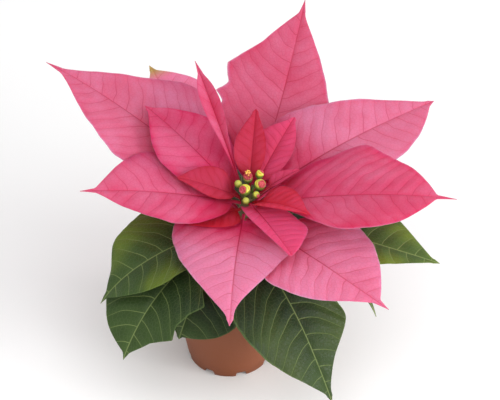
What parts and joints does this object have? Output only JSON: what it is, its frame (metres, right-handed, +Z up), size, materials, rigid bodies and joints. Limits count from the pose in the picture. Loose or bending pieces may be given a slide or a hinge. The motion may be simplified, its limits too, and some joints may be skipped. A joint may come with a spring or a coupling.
{
  "type": "poinsettia in a nursery pot",
  "caption": "Potted poinsettia: a star of broad pointed pink bracts round small yellow-green flowers, over dark green veined leaves, in a small notched terracotta-coloured pot.",
  "frame": {"origin": "under the middle of the whole plant's bounding box, on the plane the pot stands on", "axes": "+Z up, -Y towards the front that the picture shows, +X to the picture's right"},
  "size_m": [0.2561, 0.2323, 0.1855],
  "materials": {
    "terracotta_plastic": "smooth matt",
    "potting_mix": "rough crumbs",
    "green_stem": "smooth",
    "pink_bract": "soft satin, with darker veins",
    "red_bract": "soft satin, with darker veins",
    "green_leaf": "satin, with pale veins",
    "yellow_green_cyathium": "waxy"
  },
  "bodies": {
    "root": {"pot": "terracotta_plastic", "soil": "potting_mix", "stem": "green_stem", "bract_far_left": "pink_bract", "bract_inner_left": "pink_bract", "bract_left": "pink_bract", "bract_front": "pink_bract", "bract_front_right": "pink_bract", "bract_right": "pink_bract", "bract_rear_right": "pink_bract", "bract_rear": "pink_bract", "bract_folded": "pink_bract", "bract_behind": "pink_bract", "small_bract_rear": "red_bract", "small_bract_rear_right": "red_bract", "small_bract_left": "red_bract", "small_bract_dark": "red_bract", "small_bract_low_right": "red_bract", "small_bract_right": "red_bract", "small_bract_front": "red_bract", "leaf_left": "green_leaf", "leaf_front_left": "green_leaf", "leaf_small": "green_leaf", "leaf_front": "green_leaf", "leaf_right": "green_leaf", "leaf_low_right": "green_leaf", "leaf_rear": "green_leaf", "leaf_rear_left": "green_leaf", "leaf_rear_right": "green_leaf", "cyathium_1": "yellow_green_cyathium", "cyathium_2": "yellow_green_cyathium", "cyathium_3": "yellow_green_cyathium", "cyathium_4": "yellow_green_cyathium", "cyathium_5": "yellow_green_cyathium", "cyathium_6": "yellow_green_cyathium", "cyathium_7": "yellow_green_cyathium"}
  },
  "joints": []
}
